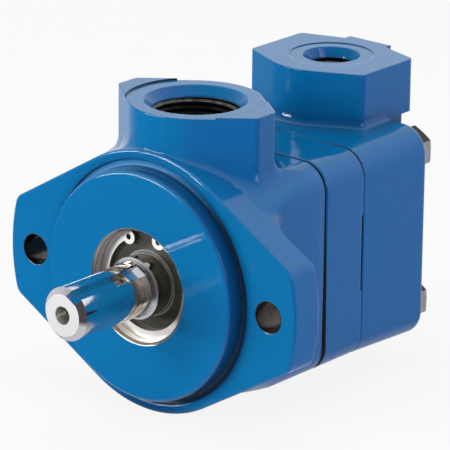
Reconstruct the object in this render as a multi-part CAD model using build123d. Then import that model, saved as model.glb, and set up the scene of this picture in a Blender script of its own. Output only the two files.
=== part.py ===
"""Hydraulic vane pump, two-bolt flange mounting, straight keyed shaft.

Millimetres, +Z up. The shaft lies along Y with its drive end towards -Y; the origin is on the
shaft axis, in the face of the mounting flange. Seen from the drive end, +X is to the right.
"""

import os
from math import atan2, cos, degrees, hypot, radians, sin, sqrt, tan

from build123d import *

# ---- fits -------------------------------------------------------------------------------------
RUN_GAP = 0.02  # running clearance, on a radius or a side
SLIDE_GAP = 0.025  # vane to slot, each side
SPLINE_GAP = 0.05  # rotor to shaft spline, all round
FACE_GAP = 0.02  # rotor to each side face

# ---- mounting flange --------------------------------------------------------------------------
PILOT_D = 82.55
PILOT_H = 6.35
PILOT_EDGE = 0.9
FLANGE_T = 12.7
FLANGE_HUB_R = 47.3
FLANGE_SLOPE = 31.0  # of the lobes' straight edges, degrees below level
FLANGE_CORNER_R = 5.0
FLANGE_EDGE = 0.9
BOLT_SPACING = 106.4
BOLT_HOLE_D = 11.1
EAR_WALL = 11.6  # from a mounting hole's middle to the lobe's end
LUG_SPOT_R = 9.5  # flat seat behind each mounting hole
WEB_R = 8.0  # cast fillet behind the lobes
RELIEF_W = 2.5  # groove round the pilot's foot
RELIEF_DEPTH = 1.0

# ---- the three castings -----------------------------------------------------------------------
HALF_W = 41.7
TOP_Z = 40.3
BOTTOM_Z = -36.8
CORNER_R = 10.0
BODY_L = 45.0  # flange face to the ring
RING_W = 21.3
COVER_L = 35.6  # ring to the bolt heads' seats
COVER_DRAFT = 0.9  # how far the cover's rear edge stands out past its front edge
SHOULDER_OPEN = 12.0  # how steeply the shoulder opens out to the block's corners, degrees
SHOULDER_R = 8.0  # its corners
HUB_BACK = 11.3  # how far the hub's round runs back behind the flange
SEAM_BODY = 0.9  # chamfer each side of the seam between body and ring
SEAM_COVER = 0.35
REAR_EDGE = 2.4
SLOT_W = 2.0  # pry slot in the ring's rear edge
SLOT_DEPTH = 2.0
SLOT_TOP = 9.0
SLOT_BOTTOM = -22.0

# ---- ports ------------------------------------------------------------------------------------
PORT_Z = 60.5  # both spotfaces
CAST_RISE = 0.6  # height of the unmachined face above the spotface
INLET_Y = 24.3
INLET_BOSS_R = 23.5
INLET_BOSS_X = 31.6
INLET_FLAT = 3.6  # half length of the side flats between their roundings
INLET_CORNER_R = 2.5
INLET_THREAD_R = 15.65
INLET_MOUTH_R = 18.15
INLET_SPOT_R = 24.6
INLET_DEPTH = 22.0
INLET_CORE_R = 7.8
OUTLET_Y = 99.4
OUTLET_BOSS_R = 23.7
OUTLET_REAR_R = 21.7
OUTLET_BOSS_X = 25.7
OUTLET_FLAT = 12.7
OUTLET_CORNER_R = 2.5
OUTLET_PAD_W = 18.6
OUTLET_PAD_Y = 22.8
OUTLET_BOSS_H = 19.0
OUTLET_THREAD_R = 8.7
OUTLET_MOUTH_R = 10.33
OUTLET_SPOT_R = 15.1
OUTLET_DEPTH = 20.0
OUTLET_CORE_R = 7.2
MOUTH_ANGLE = 15.0  # half-angle of the sealing cone in a port's mouth
BULGE_TOP_R = 23.5  # rear swelling round the outlet passage
BULGE_LOW_R = 17.5
BULGE_LOW_Z = 2.0
OVERHANG_GAP = 1.9  # inlet boss over the ring
NECK_Y = 108.0  # rear limit of the wall under the outlet boss
NECK_DROP = 4.0

# ---- front bore: retaining ring, seal and bearing ---------------------------------------------
BORE_D = 40.0
BORE_EDGE = 0.8
CLIP_T = 1.75
CLIP_FACE_Y = -2.0
CLIP_IN_R = 16.8
CLIP_GROOVE_DEPTH = 1.25
CLIP_GROOVE_W = 1.85
CLIP_EAR_R = 2.7
CLIP_EAR_AT = 17.35
CLIP_EAR_HOLE = 1.05
CLIP_EARS = (-26.5, 19.0)  # degrees from the top, towards +X
SEAL_W = 7.0
SEAL_FACE = 1.4
SEAL_CASE_T = 0.8
SEAL_SKIN = 1.0
LIP_T = 0.9
GARTER_WIRE_R = 0.55
BEARING_D = 17.0
BEARING_W = 12.0
BEARING_STEP = 3.1  # height of each race at its shoulder
BALL_D = 6.75
BALL_COUNT = 8
CAGE_GAP = 0.1
WEB_BORE_R = 12.6

# ---- shaft ------------------------------------------------------------------------------------
SHAFT_D = 19.05
SHAFT_REACH = 44.45
SHAFT_CHAMFER = 2.0
COLLAR_D = 22.2
COLLAR_Y = -9.2
COLLAR_CHAMFER = 1.2
CENTRE_D = 6.2
CENTRE_PILOT_D = 2.5
KEYWAY_W = 4.76
KEYWAY_DEPTH = 2.5
KEYWAY_END_Y = -17.5
KEYWAY_ANGLE = 31.0  # from the top, towards +X
KEYWAY_CUTTER_R = 17.0
SNAP_T = 1.0
SNAP_OUT_R = 10.9
SNAP_GROOVE_R = 8.1
JOURNAL_D = 15.88
BUSH_OUT_R = 10.5
BUSH_L = 14.0
SPLINE_TIP_R = 7.55
SPLINE_ROOT_R = 6.6
SPLINE_TOOTH_W = 1.9
SPLINE_TEETH = 12
SHAFT_END_GAP = 1.5

# ---- rotor, vanes and cam ---------------------------------------------------------------------
ROTOR_R = 23.0
CAM_MINOR_R = 23.15
CAM_MAJOR_R = 26.0
CAM_MAJOR_AT = 45.0  # degrees from +X towards +Z
CAM_DWELL = 30.0
VANE_COUNT = 12
VANE_FIRST = 15.0
VANE_T = 1.8
VANE_L = 7.9
VANE_DRAWN_IN = 0.2  # tip below the rotor's rim when drawn in
VANE_BEVEL = 0.7
UNDER_VANE_R = 1.25
PIN_R = 2.0
PIN_AT = 27.4
PIN_IN_BODY = 6.0
PIN_IN_PLATE = 5.0

# ---- feed chamber and side ports --------------------------------------------------------------
CHAMBER_Y0 = 23.5
CHAMBER_Y1 = 39.5
CHAMBER_R = 27.0
TUBE_R = 13.4
KIDNEY_IN_R = 19.0
KIDNEY_OUT_R = 25.6
KIDNEY_SPAN = 52.0
PLATE_R = 30.5
PLATE_GAP = 0.04
PLATE_T = 13.0
PLATE_FLOAT = 0.5
PLATE_SEAL_W = 2.4
PLATE_SEAL_DEPTH = 1.6
PLATE_SEAT_R = 19.5
PLATE_SEAT_DEPTH = 3.0
UNDER_PORT_R = 15.2
SPRING_R = 16.6
SPRING_WIRE_R = 1.25
SPRING_TURNS = 2.0
SPRING_ROOM_R = 22.0
SPRING_ROOM_END = 87.0
LINK_R = 6.0
LINK_Z = 7.0
FACE_SEAL_R = 33.1
FACE_SEAL_W = 2.6
FACE_SEAL_DEPTH = 2.0
FACE_GROOVE_W = 3.0

# ---- cover bolts ------------------------------------------------------------------------------
BOLT_X = 32.0
BOLT_TOP_Z = 30.4
BOLT_LOW_Z = -26.2
BOLT_D = 9.53
BOLT_L = 76.2
BOLT_CLEAR_R = 5.1
BOLT_TAPPED_R = 4.8
BOLT_SPOT_R = 9.2
BOLT_AF = 14.3
BOLT_HEAD_H = 6.2
BOLT_WASHER_FACE = 0.4
BOLT_END_GAP = 2.0

RING_Y0 = BODY_L
RING_Y1 = BODY_L + RING_W
FLANGE_END_R = BOLT_SPACING / 2 + EAR_WALL
SEAT_Y = RING_Y1 + COVER_L
PILOT_FACE_Y = -PILOT_H
SEAL_Y0 = CLIP_FACE_Y + CLIP_T
BEARING_Y0 = SEAL_Y0 + SEAL_W
BEARING_Y1 = BEARING_Y0 + BEARING_W
BORE_R = BORE_D / 2
BOLT_SITES = [(x, z) for x in (-BOLT_X, BOLT_X) for z in (BOLT_TOP_Z, BOLT_LOW_Z)]
PIN_ANGLES = (CAM_MAJOR_AT + 90, CAM_MAJOR_AT - 90)


# ---- helpers: everything lies along Y, so sketches are drawn in X and Z -------------------------
def section(y):
    """A plane across the shaft: sketch x is X, sketch y is Z."""
    return Plane(origin=(0, y, 0), x_dir=(1, 0, 0), z_dir=(0, -1, 0))


def slab(sketch, y0, y1, taper=0):
    """The sketch, swept along the shaft from y0 to y1."""
    return extrude(section(y1) * sketch, amount=y1 - y0, taper=taper)


def slab_back(sketch, y0, y1, taper=0):
    """The same, but a taper works from y0 backwards. The sketch is alike above and below."""
    rear = Plane(origin=(0, y0, 0), x_dir=(1, 0, 0), z_dir=(0, 1, 0))
    return extrude(rear * sketch, amount=y1 - y0, taper=taper)


def disc(r, y0, y1, x=0.0, z=0.0):
    """A round bar along the shaft axis."""
    return slab(Pos(x, z) * Circle(r), y0, y1)


def post(r, z0, z1, x=0.0, y=0.0):
    """A round bar that stands upright."""
    return extrude(Plane.XY.offset(z0) * Pos(x, y) * Circle(r), amount=z1 - z0)


def turned(points):
    """A turned piece: (radius, y) corners, revolved round the shaft axis."""
    return revolve(make_face(Polyline(*points, close=True)), Axis.Y)


def polar(r, degrees_from_x):
    """A point at a radius, by its angle from +X towards +Z."""
    a = radians(degrees_from_x)
    return (r * cos(a), r * sin(a))


def arc_through(r, a0, a1):
    """An arc round the axis between two angles."""
    return ThreePointArc(polar(r, a0), polar(r, (a0 + a1) / 2), polar(r, a1))


def annular_sector(r0, r1, middle, span):
    """A kidney-shaped port outline with round ends."""
    r = (r0 + r1) / 2
    return SlotArc(arc_through(r, middle - span / 2, middle + span / 2), r1 - r0)


# ---- outlines ---------------------------------------------------------------------------------
def flange_outline():
    """A round hub with two lobes: straight tangents, small corners and a concentric end arc."""
    n = (sin(radians(FLANGE_SLOPE)), cos(radians(FLANGE_SLOPE)))
    along = (n[1], -n[0])
    reach = FLANGE_END_R - FLANGE_CORNER_R
    drop = FLANGE_HUB_R - FLANGE_CORNER_R
    t = sqrt(reach**2 - drop**2)
    c = (drop * n[0] + t * along[0], drop * n[1] + t * along[1])
    top = (FLANGE_HUB_R * n[0], FLANGE_HUB_R * n[1])
    a = (c[0] + FLANGE_CORNER_R * n[0], c[1] + FLANGE_CORNER_R * n[1])
    k = FLANGE_END_R / reach
    b = (c[0] * k, c[1] * k)
    out = (n[0] + c[0] / reach, n[1] + c[1] / reach)
    size = hypot(*out)
    m = (c[0] + FLANGE_CORNER_R * out[0] / size, c[1] + FLANGE_CORNER_R * out[1] / size)

    def at(p, sx, sz):
        return (sx * p[0], sz * p[1])

    edges = []
    for sx in (1, -1):
        for sz in (1, -1):
            edges += Line(at(top, sx, sz), at(a, sx, sz)).edges()
            edges += ThreePointArc(at(a, sx, sz), at(m, sx, sz), at(b, sx, sz)).edges()
        edges += ThreePointArc(at(b, sx, 1), (sx * FLANGE_END_R, 0), at(b, sx, -1)).edges()
    for sz in (1, -1):
        edges += ThreePointArc(at(top, -1, sz), (0, sz * FLANGE_HUB_R), at(top, 1, sz)).edges()
    return make_face(Wire(edges))


def shoulder_outline():
    """The flange's outline without the lobes' outer parts, its new corners rounded."""
    outline = flange_outline() & Rectangle(2 * HALF_W, 4 * FLANGE_HUB_R)
    corners = [v for v in outline.vertices() if abs(abs(v.X) - HALF_W) < 0.01]
    return fillet(corners, SHOULDER_R)


def block_outline(grow=0.0):
    """The castings' rounded section; its middle lies a little above the shaft."""
    w = 2 * (HALF_W + grow)
    h = TOP_Z - BOTTOM_Z + 2 * grow
    return Pos(0, (TOP_Z + BOTTOM_Z) / 2) * RectangleRounded(w, h, CORNER_R)


def hull(circles):
    """The outline of a band stretched round the circles, given as (radius, x, y)."""
    return make_hull(Sketch([Pos(x, y) * Circle(r) for r, x, y in circles]).edges())


def inlet_boss_outline():
    x = INLET_BOSS_X - INLET_CORNER_R
    ends = [(INLET_CORNER_R, sx * x, sy * INLET_FLAT) for sx in (1, -1) for sy in (1, -1)]
    return Pos(0, INLET_Y) * hull([(INLET_BOSS_R, 0, 0)] + ends)


def outlet_boss_outline():
    x = OUTLET_BOSS_X - OUTLET_CORNER_R
    front = [(OUTLET_CORNER_R, s * x, -OUTLET_FLAT) for s in (1, -1)]
    rear = [(OUTLET_CORNER_R, s * x, OUTLET_FLAT) for s in (1, -1)]
    body = hull([(OUTLET_REAR_R, 0, 0)] + front + rear)
    nose = hull([(OUTLET_BOSS_R, 0, 0)] + front)
    nose -= Pos(0, OUTLET_BOSS_R) * Rectangle(4 * OUTLET_BOSS_R, 2 * OUTLET_BOSS_R)
    pad = Pos(0, OUTLET_PAD_Y / 2) * Rectangle(OUTLET_PAD_W, OUTLET_PAD_Y)
    return Pos(0, OUTLET_Y) * (body + nose + pad)


def cam_outline():
    """Two lobes: dwells at both radii, joined by smooth ramps."""
    ramp = 90 - CAM_DWELL
    rise = CAM_MAJOR_R - CAM_MINOR_R
    edges = []
    for quarter in range(4):
        middle = CAM_MAJOR_AT + 90 * quarter
        high = quarter % 2 == 0
        r = CAM_MAJOR_R if high else CAM_MINOR_R
        edges += arc_through(r, middle - CAM_DWELL / 2, middle + CAM_DWELL / 2).edges()
        points = []
        for i in range(9):
            s = i / 8
            lift = s**3 * (10 - 15 * s + 6 * s * s)
            radius = r + rise * (-lift if high else lift)
            points.append(polar(radius, middle + CAM_DWELL / 2 + ramp * s))
        ends = [middle + CAM_DWELL / 2 + 90, middle + 90 - CAM_DWELL / 2 + 90]
        edges += Spline(*points, tangents=[polar(1, a) for a in ends]).edges()
    return make_face(Wire(edges))


def spline_outline(gap=0.0):
    """Straight-sided splines, grown by the gap."""
    teeth = Circle(SPLINE_ROOT_R + gap)
    for k in range(SPLINE_TEETH):
        tooth = Pos(SPLINE_TIP_R / 2, 0) * Rectangle(SPLINE_TIP_R, SPLINE_TOOTH_W + 2 * gap)
        teeth += Rot(0, 0, 360 / SPLINE_TEETH * k) * tooth
    return teeth & Circle(SPLINE_TIP_R + gap)


def port_cutter(thread_r, mouth_r, spot_r, depth, y):
    """A straight-thread port: spotface, sealing cone, thread bore with a drilled end."""
    cone = (mouth_r - thread_r) / tan(radians(MOUTH_ANGLE))
    tip = thread_r * 0.3
    p = [
        (0, PORT_Z + 4), (spot_r, PORT_Z + 4), (spot_r, PORT_Z), (mouth_r, PORT_Z),
        (thread_r, PORT_Z - min(cone, 3.4)), (thread_r, PORT_Z - depth),
        (0, PORT_Z - depth - tip),
    ]
    face = make_face(Polyline(*[(r, 0, z) for r, z in p], close=True))
    return Pos(0, y, 0) * revolve(face, Axis.Z)


def face_groove(y, width=FACE_GROOVE_W):
    """A seal groove cut into the face at y, towards +Y; give it to either casting."""
    half = width / 2
    return turned([
        (FACE_SEAL_R - half, y), (FACE_SEAL_R + half, y),
        (FACE_SEAL_R + half, y + FACE_SEAL_DEPTH), (FACE_SEAL_R - half, y + FACE_SEAL_DEPTH),
    ])


def edges_at_y(shape, y, tol=0.01):
    return shape.edges().filter_by(
        lambda e: abs(e.bounding_box().min.Y - y) < tol and abs(e.bounding_box().max.Y - y) < tol
    )


# ---- castings ---------------------------------------------------------------------------------
def make_shoulder():
    """The cast form behind the flange: the hub's round runs back and fairs into the block."""
    outline = shoulder_outline()
    opened = BODY_L - 2 * SEAM_BODY
    limit = slab(outline, FLANGE_T - 2, FLANGE_T)
    limit += slab_back(outline, FLANGE_T, opened, taper=-SHOULDER_OPEN)
    block = slab(block_outline(), FLANGE_T - 2, opened) & limit
    block += slab(block_outline(), opened, BODY_L)
    block = chamfer(edges_at_y(block, BODY_L), SEAM_BODY)
    drop = FLANGE_HUB_R + BOTTOM_Z + 0.5
    round_end = FLANGE_T + HUB_BACK
    shoulder = slab(outline, FLANGE_T - 2, round_end)
    shoulder += slab_back(outline, round_end, opened, taper=degrees(atan2(drop, opened - round_end)))
    return block + shoulder


def make_webs():
    """Cast fillets between the backs of the lobes and the block's sides."""
    y0, y1 = FLANGE_T, FLANGE_T + WEB_R
    webs = Part()
    for s in (-1, 1):
        corner = Box(WEB_R + 2, WEB_R + 2, 2 * FLANGE_HUB_R)
        corner = Pos(s * (HALF_W + WEB_R / 2 - 1), (y0 + y1) / 2 - 1, 0) * corner
        webs += corner - post(WEB_R, -FLANGE_HUB_R, FLANGE_HUB_R, s * (HALF_W + WEB_R), y1)
    webs &= slab(flange_outline(), y0 - 1, y1)
    for s in (-1, 1):
        webs -= disc(LUG_SPOT_R, FLANGE_T, y1 + 1, s * BOLT_SPACING / 2)
    return webs


def make_body():
    """Flange, pilot, shoulder, block and inlet boss, with the front bore and the feed chamber."""
    plate = slab(flange_outline(), 0, FLANGE_T)
    plate = fillet(edges_at_y(plate, 0), FLANGE_EDGE)
    block = make_shoulder()
    foot = TOP_Z / 2
    boss = extrude(Plane.XY.offset(foot) * inlet_boss_outline(), amount=PORT_Z + CAST_RISE - foot)
    room = TOP_Z + OVERHANG_GAP - foot
    boss -= Pos(0, BODY_L + 20, foot + room / 2) * Box(4 * INLET_BOSS_X, 40, room)
    body = plate + block + make_webs() + boss

    pilot = disc(PILOT_D / 2, PILOT_FACE_Y, RELIEF_DEPTH)
    pilot = chamfer(edges_at_y(pilot, PILOT_FACE_Y), PILOT_EDGE)
    body -= disc(PILOT_D / 2 + RELIEF_W, -1, RELIEF_DEPTH)
    body += pilot

    body -= disc(BORE_R, PILOT_FACE_Y - 1, BEARING_Y1)
    body -= turned([
        (0, PILOT_FACE_Y - 1), (BORE_R + BORE_EDGE + 1, PILOT_FACE_Y - 1),
        (BORE_R, PILOT_FACE_Y + BORE_EDGE), (0, PILOT_FACE_Y + BORE_EDGE),
    ])
    body -= disc(BORE_R + CLIP_GROOVE_DEPTH, SEAL_Y0 - CLIP_GROOVE_W, SEAL_Y0)
    body -= disc(WEB_BORE_R, BEARING_Y1 - 1, CHAMBER_Y0 + 1)

    core_y = (CHAMBER_Y0 + CHAMBER_Y1) / 2
    core = post(INLET_CORE_R, 0, PORT_Z - INLET_DEPTH, y=core_y)
    core += disc(CHAMBER_R, CHAMBER_Y0, CHAMBER_Y1)
    body -= core - disc(TUBE_R, CHAMBER_Y0 + 4, CHAMBER_Y1)
    body -= disc(BUSH_OUT_R, CHAMBER_Y0, BODY_L + 1)
    for middle in (90, 270):
        kidney = annular_sector(KIDNEY_IN_R, KIDNEY_OUT_R, middle, KIDNEY_SPAN)
        body -= slab(kidney, CHAMBER_Y1 - 1, BODY_L + 1)

    body -= port_cutter(INLET_THREAD_R, INLET_MOUTH_R, INLET_SPOT_R, INLET_DEPTH, INLET_Y)

    for x in (-BOLT_SPACING / 2, BOLT_SPACING / 2):
        body -= disc(BOLT_HOLE_D / 2, -1, FLANGE_T + 1, x)
    for x, z in BOLT_SITES:
        body -= disc(BOLT_TAPPED_R, SEAT_Y - BOLT_L - BOLT_END_GAP, BODY_L + 1, x, z)
    for a in PIN_ANGLES:
        body -= disc(PIN_R, BODY_L - PIN_IN_BODY, BODY_L + 1, *polar(PIN_AT, a))
    body -= Pos(0, -FACE_SEAL_DEPTH, 0) * face_groove(BODY_L)
    return body


def make_ring():
    """The middle section: a plain block round the two-lobed cam bore."""
    ring = slab(block_outline(), RING_Y0, RING_Y1)
    ring = chamfer(edges_at_y(ring, RING_Y0), SEAM_BODY)
    ring = chamfer(edges_at_y(ring, RING_Y1), SEAM_COVER)
    ring -= slab(cam_outline(), RING_Y0 - 1, RING_Y1 + 1)
    for x, z in BOLT_SITES:
        ring -= disc(BOLT_CLEAR_R, RING_Y0 - 1, RING_Y1 + 1, x, z)
    for a in PIN_ANGLES:
        ring -= disc(PIN_R, RING_Y0 - 1, RING_Y1 + 1, *polar(PIN_AT, a))
    slot = Box(2 * SLOT_DEPTH, 2 * SLOT_W, SLOT_TOP - SLOT_BOTTOM)
    slot = fillet(slot.edges().filter_by(Axis.X), SLOT_W * 0.45)
    for s in (-1, 1):
        ring -= Pos(s * HALF_W, RING_Y1, (SLOT_TOP + SLOT_BOTTOM) / 2) * slot
    return ring


def make_cover():
    """The rear section: plate and spring chamber, outlet boss and the swelling round its bore."""
    grown = [(RING_Y1, -SEAM_COVER), (RING_Y1 + SEAM_COVER, 0), (SEAT_Y, COVER_DRAFT)]
    cover = loft([(section(y) * block_outline(g)).face() for y, g in grown], ruled=True)
    cover = fillet(edges_at_y(cover, SEAT_Y), REAR_EDGE)

    low_z = PORT_Z - OUTLET_BOSS_H
    top = PORT_Z + CAST_RISE / 2
    outline = outlet_boss_outline()
    boss = extrude(Plane.XY.offset(low_z) * outline, amount=top - low_z)
    wall_z = TOP_Z - NECK_DROP
    wall = extrude(Plane.XY.offset(wall_z) * outline, amount=low_z - wall_z)
    wall -= Pos(0, NECK_Y + 20, TOP_Z) * Box(4 * OUTLET_BOSS_X, 40, 40)
    bulge = revolve(
        make_face(Polyline(
            (0, 0, BULGE_LOW_Z), (BULGE_LOW_R, 0, BULGE_LOW_Z), (BULGE_TOP_R, 0, low_z),
            (0, 0, low_z), close=True,
        )), Axis.Z,
    )
    bulge += Pos(0, 0, BULGE_LOW_Z) * Sphere(BULGE_LOW_R)
    cover += boss + wall + Pos(0, OUTLET_Y, 0) * bulge

    plate_room = RING_Y1 + PLATE_T + PLATE_FLOAT
    cover -= disc(PLATE_R + PLATE_GAP, RING_Y1 - 1, plate_room)
    cover -= disc(SPRING_ROOM_R, RING_Y1, SPRING_ROOM_END)
    cover -= port_cutter(OUTLET_THREAD_R, OUTLET_MOUTH_R, OUTLET_SPOT_R, OUTLET_DEPTH, OUTLET_Y)
    cover -= post(OUTLET_CORE_R, LINK_Z - LINK_R - 2, PORT_Z - OUTLET_DEPTH, y=OUTLET_Y)
    cover -= disc(LINK_R, SPRING_ROOM_END - 1, OUTLET_Y, z=LINK_Z)
    for x, z in BOLT_SITES:
        cover -= disc(BOLT_CLEAR_R, RING_Y1 - 1, SEAT_Y + 1, x, z)
        cover -= disc(BOLT_SPOT_R, SEAT_Y, SEAT_Y + OUTLET_BOSS_R, x, z)
    cover -= face_groove(RING_Y1)
    return cover


# ---- bolts, pins and face seals -----------------------------------------------------------------
def make_cover_bolts():
    """Four hex screws, heads on the cover's rear corners."""
    y = SEAT_Y
    bolts = []
    for x, z in BOLT_SITES:
        face = y + BOLT_WASHER_FACE
        head = slab(Rot(0, 0, 30) * RegularPolygon(BOLT_AF / sqrt(3), 6), face, y + BOLT_HEAD_H)
        crown = turned([
            (0, y), (BOLT_AF, y), (BOLT_AF, y + BOLT_HEAD_H - 2.2),
            (BOLT_AF / 2 - 0.2, y + BOLT_HEAD_H), (0, y + BOLT_HEAD_H),
        ])
        bolt = (head & crown) + disc(BOLT_AF / 2 - 0.4, y, face)
        shank = disc(BOLT_D / 2, y - BOLT_L, y)
        bolt += chamfer(edges_at_y(shank, y - BOLT_L), 1.0)
        bolts.append(Pos(x, 0, z) * bolt)
    return Compound(bolts)


def make_pins():
    """Two dowels that line up body, ring and pressure plate."""
    y0, y1 = BODY_L - PIN_IN_BODY + RUN_GAP, RING_Y1 + PIN_IN_PLATE
    pin = disc(PIN_R, y0, y1)
    pin = chamfer(edges_at_y(pin, y0) + edges_at_y(pin, y1), 0.4)
    return Compound([Pos(x, 0, z) * pin for x, z in (polar(PIN_AT, a) for a in PIN_ANGLES)])


def seal_ring(r, y0, y1, width):
    """A moulded seal ring, squeezed flat where it touches."""
    ring = disc(r + width / 2, y0, y1) - disc(r - width / 2, y0, y1)
    return fillet(edges_at_y(ring, y0) + edges_at_y(ring, y1), width / 4)


# ---- front bore ---------------------------------------------------------------------------------
def make_clip():
    """Internal retaining ring: an open ring with two pierced ears."""
    y0, y1 = CLIP_FACE_Y, SEAL_Y0
    ring = disc(BORE_R + CLIP_GROOVE_DEPTH - RUN_GAP, y0, y1) - disc(CLIP_IN_R, y0, y1)
    a0, a1 = (90 - a for a in CLIP_EARS)
    reach = 2 * BORE_R
    rim = [polar(reach, a) for a in (a0, (a0 + a1) / 2, a1)]
    wedge = make_face(Polyline((0, 0), *rim, close=True))
    ring -= slab(wedge, y0 - 1, y1 + 1)
    for a in (a0, a1):
        x, z = polar(CLIP_EAR_AT, a)
        ring += disc(CLIP_EAR_R, y0, y1, x, z)
        ring -= disc(CLIP_EAR_HOLE, y0, y1, x, z)
    return ring


def seal_profiles():
    """Corner lists of the shaft seal's rubber and of the steel case moulded into it."""
    y0, y1 = SEAL_Y0, BEARING_Y0
    lip = COLLAR_D / 2 + RUN_GAP
    skin, case = SEAL_SKIN, SEAL_CASE_T
    steel = [
        (BORE_R - skin, y0 + skin), (BORE_R - skin, y1), (BORE_R - skin - case, y1),
        (BORE_R - skin - case, y0 + skin + case), (lip + 3.4, y0 + skin + case), (lip + 3.4, y0 + skin),
    ]
    bed = y0 + skin + case
    rubber = [
        (BORE_R, y0 + 0.3), (BORE_R, y1), (BORE_R - skin, y1), (BORE_R - skin, y0 + skin),
        (lip + 3.4, y0 + skin), (lip + 3.4, bed), (lip + 2.0, bed + 0.7), (lip + 1.6, bed + 1.8),
        (lip + LIP_T, y1 - 1.4), (lip + LIP_T, y1 - 0.2), (lip + 0.4, y1 - 0.1), (lip, y1 - 1.2),
        (lip + 0.6, bed + 0.8), (lip + 0.6, bed), (lip, y0 + 0.5), (lip + 0.3, y0), (BORE_R - 0.3, y0),
    ]
    return rubber, steel


def make_garter():
    """The seal's garter spring, as one closed ring behind the lip."""
    r = COLLAR_D / 2 + RUN_GAP + LIP_T + GARTER_WIRE_R + 0.01
    y = BEARING_Y0 - GARTER_WIRE_R - 0.25
    return Pos(0, y, 0) * (Rot(90, 0, 0) * Torus(r, GARTER_WIRE_R))


def race_profile(outer):
    """Half-section of a bearing race with its ball groove."""
    pitch = (BEARING_D + BORE_D) / 4
    ball = BALL_D / 2 + RUN_GAP
    middle = (BEARING_Y0 + BEARING_Y1) / 2
    if outer:
        land = BORE_R - BEARING_STEP
        half = sqrt(ball**2 - (land - pitch) ** 2)
        bed, wall = pitch + ball, BORE_R
    else:
        land = BEARING_D / 2 + BEARING_STEP
        half = sqrt(ball**2 - (pitch - land) ** 2)
        bed, wall = pitch - ball, BEARING_D / 2
    y0, y1 = BEARING_Y0, BEARING_Y1
    line = Polyline(
        (land, middle - half), (land, y0), (wall, y0), (wall, y1), (land, y1), (land, middle + half)
    )
    groove = ThreePointArc((land, middle + half), (bed, middle), (land, middle - half))
    return revolve(make_face(Wire(line.edges() + groove.edges())), Axis.Y)


def ball_places():
    pitch = (BEARING_D + BORE_D) / 4
    middle = (BEARING_Y0 + BEARING_Y1) / 2
    for k in range(BALL_COUNT):
        x, z = polar(pitch, 360 / BALL_COUNT * k)
        yield x, middle, z


def make_balls():
    return Compound([Pos(*p) * Sphere(BALL_D / 2) for p in ball_places()])


def make_cage():
    """A one-piece cage: a thin band with a round pocket for each ball."""
    pitch = (BEARING_D + BORE_D) / 4
    middle = (BEARING_Y0 + BEARING_Y1) / 2
    half, depth = BALL_D / 2 + 1.0, 0.9
    y0, y1 = middle - half, middle + half
    cage = disc(pitch + depth, y0, y1) - disc(pitch - depth, y0, y1)
    for k in range(BALL_COUNT):
        pocket = Pos(pitch, middle, 0) * (Rot(0, 90, 0) * Cylinder(BALL_D / 2 + CAGE_GAP, 4 * depth))
        cage -= Rot(0, 360 / BALL_COUNT * k, 0) * pocket
    return cage


# ---- shaft and rotor ----------------------------------------------------------------------------
def make_shaft():
    """Keyed drive end, seal collar, bearing seat, rear journal and splines, all in one piece."""
    front = -SHAFT_REACH
    collar = COLLAR_D / 2
    snap_y = BEARING_Y1
    bush_y0 = BODY_L - BUSH_L - 1
    end = RING_Y1 - SHAFT_END_GAP
    c = COLLAR_CHAMFER
    shaft = turned([
        (0, front), (SHAFT_D / 2 - SHAFT_CHAMFER, front), (SHAFT_D / 2, front + SHAFT_CHAMFER),
        (SHAFT_D / 2, COLLAR_Y), (collar - c, COLLAR_Y), (collar, COLLAR_Y + c),
        (collar, BEARING_Y0), (BEARING_D / 2, BEARING_Y0), (BEARING_D / 2, snap_y),
        (SNAP_GROOVE_R, snap_y), (SNAP_GROOVE_R, snap_y + SNAP_T), (BEARING_D / 2, snap_y + SNAP_T),
        (BEARING_D / 2, snap_y + 2.4), (JOURNAL_D / 2, snap_y + 3.0), (JOURNAL_D / 2, BODY_L - 1),
        (SPLINE_ROOT_R, BODY_L), (0, BODY_L),
    ])
    splines = slab(spline_outline(), BODY_L - 1, end)
    shaft += chamfer(edges_at_y(splines, end), 0.4)

    centre = turned([
        (0, front - 1), (CENTRE_D / 2 + 0.6, front - 1), (CENTRE_PILOT_D / 2, front + 3.2),
        (CENTRE_PILOT_D / 2, front + 6.5), (0, front + 7.3),
    ])
    floor = SHAFT_D / 2 - KEYWAY_DEPTH
    long = KEYWAY_END_Y - front + 5
    slot = Pos(0, front - 5 + long / 2, floor + KEYWAY_DEPTH) * Box(KEYWAY_W, long, 2 * KEYWAY_DEPTH)
    cutter = Pos(0, KEYWAY_END_Y, floor + KEYWAY_CUTTER_R) * (
        Rot(0, 90, 0) * Cylinder(KEYWAY_CUTTER_R, KEYWAY_W)
    )
    keyway = Rot(0, KEYWAY_ANGLE, 0) * (slot + cutter)
    keyway -= disc(collar + 1, COLLAR_Y - 0.2, BODY_L)
    return shaft - centre - keyway


def make_snap_ring():
    """External snap ring behind the bearing, open at the bottom between its ears."""
    y0, y1 = BEARING_Y1, BEARING_Y1 + SNAP_T
    ring = disc(SNAP_OUT_R, y0, y1) - disc(SNAP_GROOVE_R, y0, y1)
    ring -= Pos(0, (y0 + y1) / 2, -SNAP_OUT_R) * Box(4.5, 4 * SNAP_T, 2 * (SNAP_OUT_R - 4))
    return ring


def make_rotor():
    """A slotted drum on the splines; each slot ends in a round under-vane chamber."""
    y0, y1 = RING_Y0 + FACE_GAP, RING_Y1 - FACE_GAP
    rotor = Circle(ROTOR_R) - spline_outline(SPLINE_GAP)
    foot = ROTOR_R - VANE_DRAWN_IN - VANE_L - 0.3
    width = VANE_T + 2 * SLIDE_GAP
    slot = Pos((foot + ROTOR_R + 1) / 2, 0) * Rectangle(ROTOR_R + 1 - foot, width)
    slot += Pos(foot, 0) * Circle(UNDER_VANE_R)
    for k in range(VANE_COUNT):
        rotor -= Rot(0, 0, VANE_FIRST + 360 / VANE_COUNT * k) * slot
    return slab(rotor, y0, y1)


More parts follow.
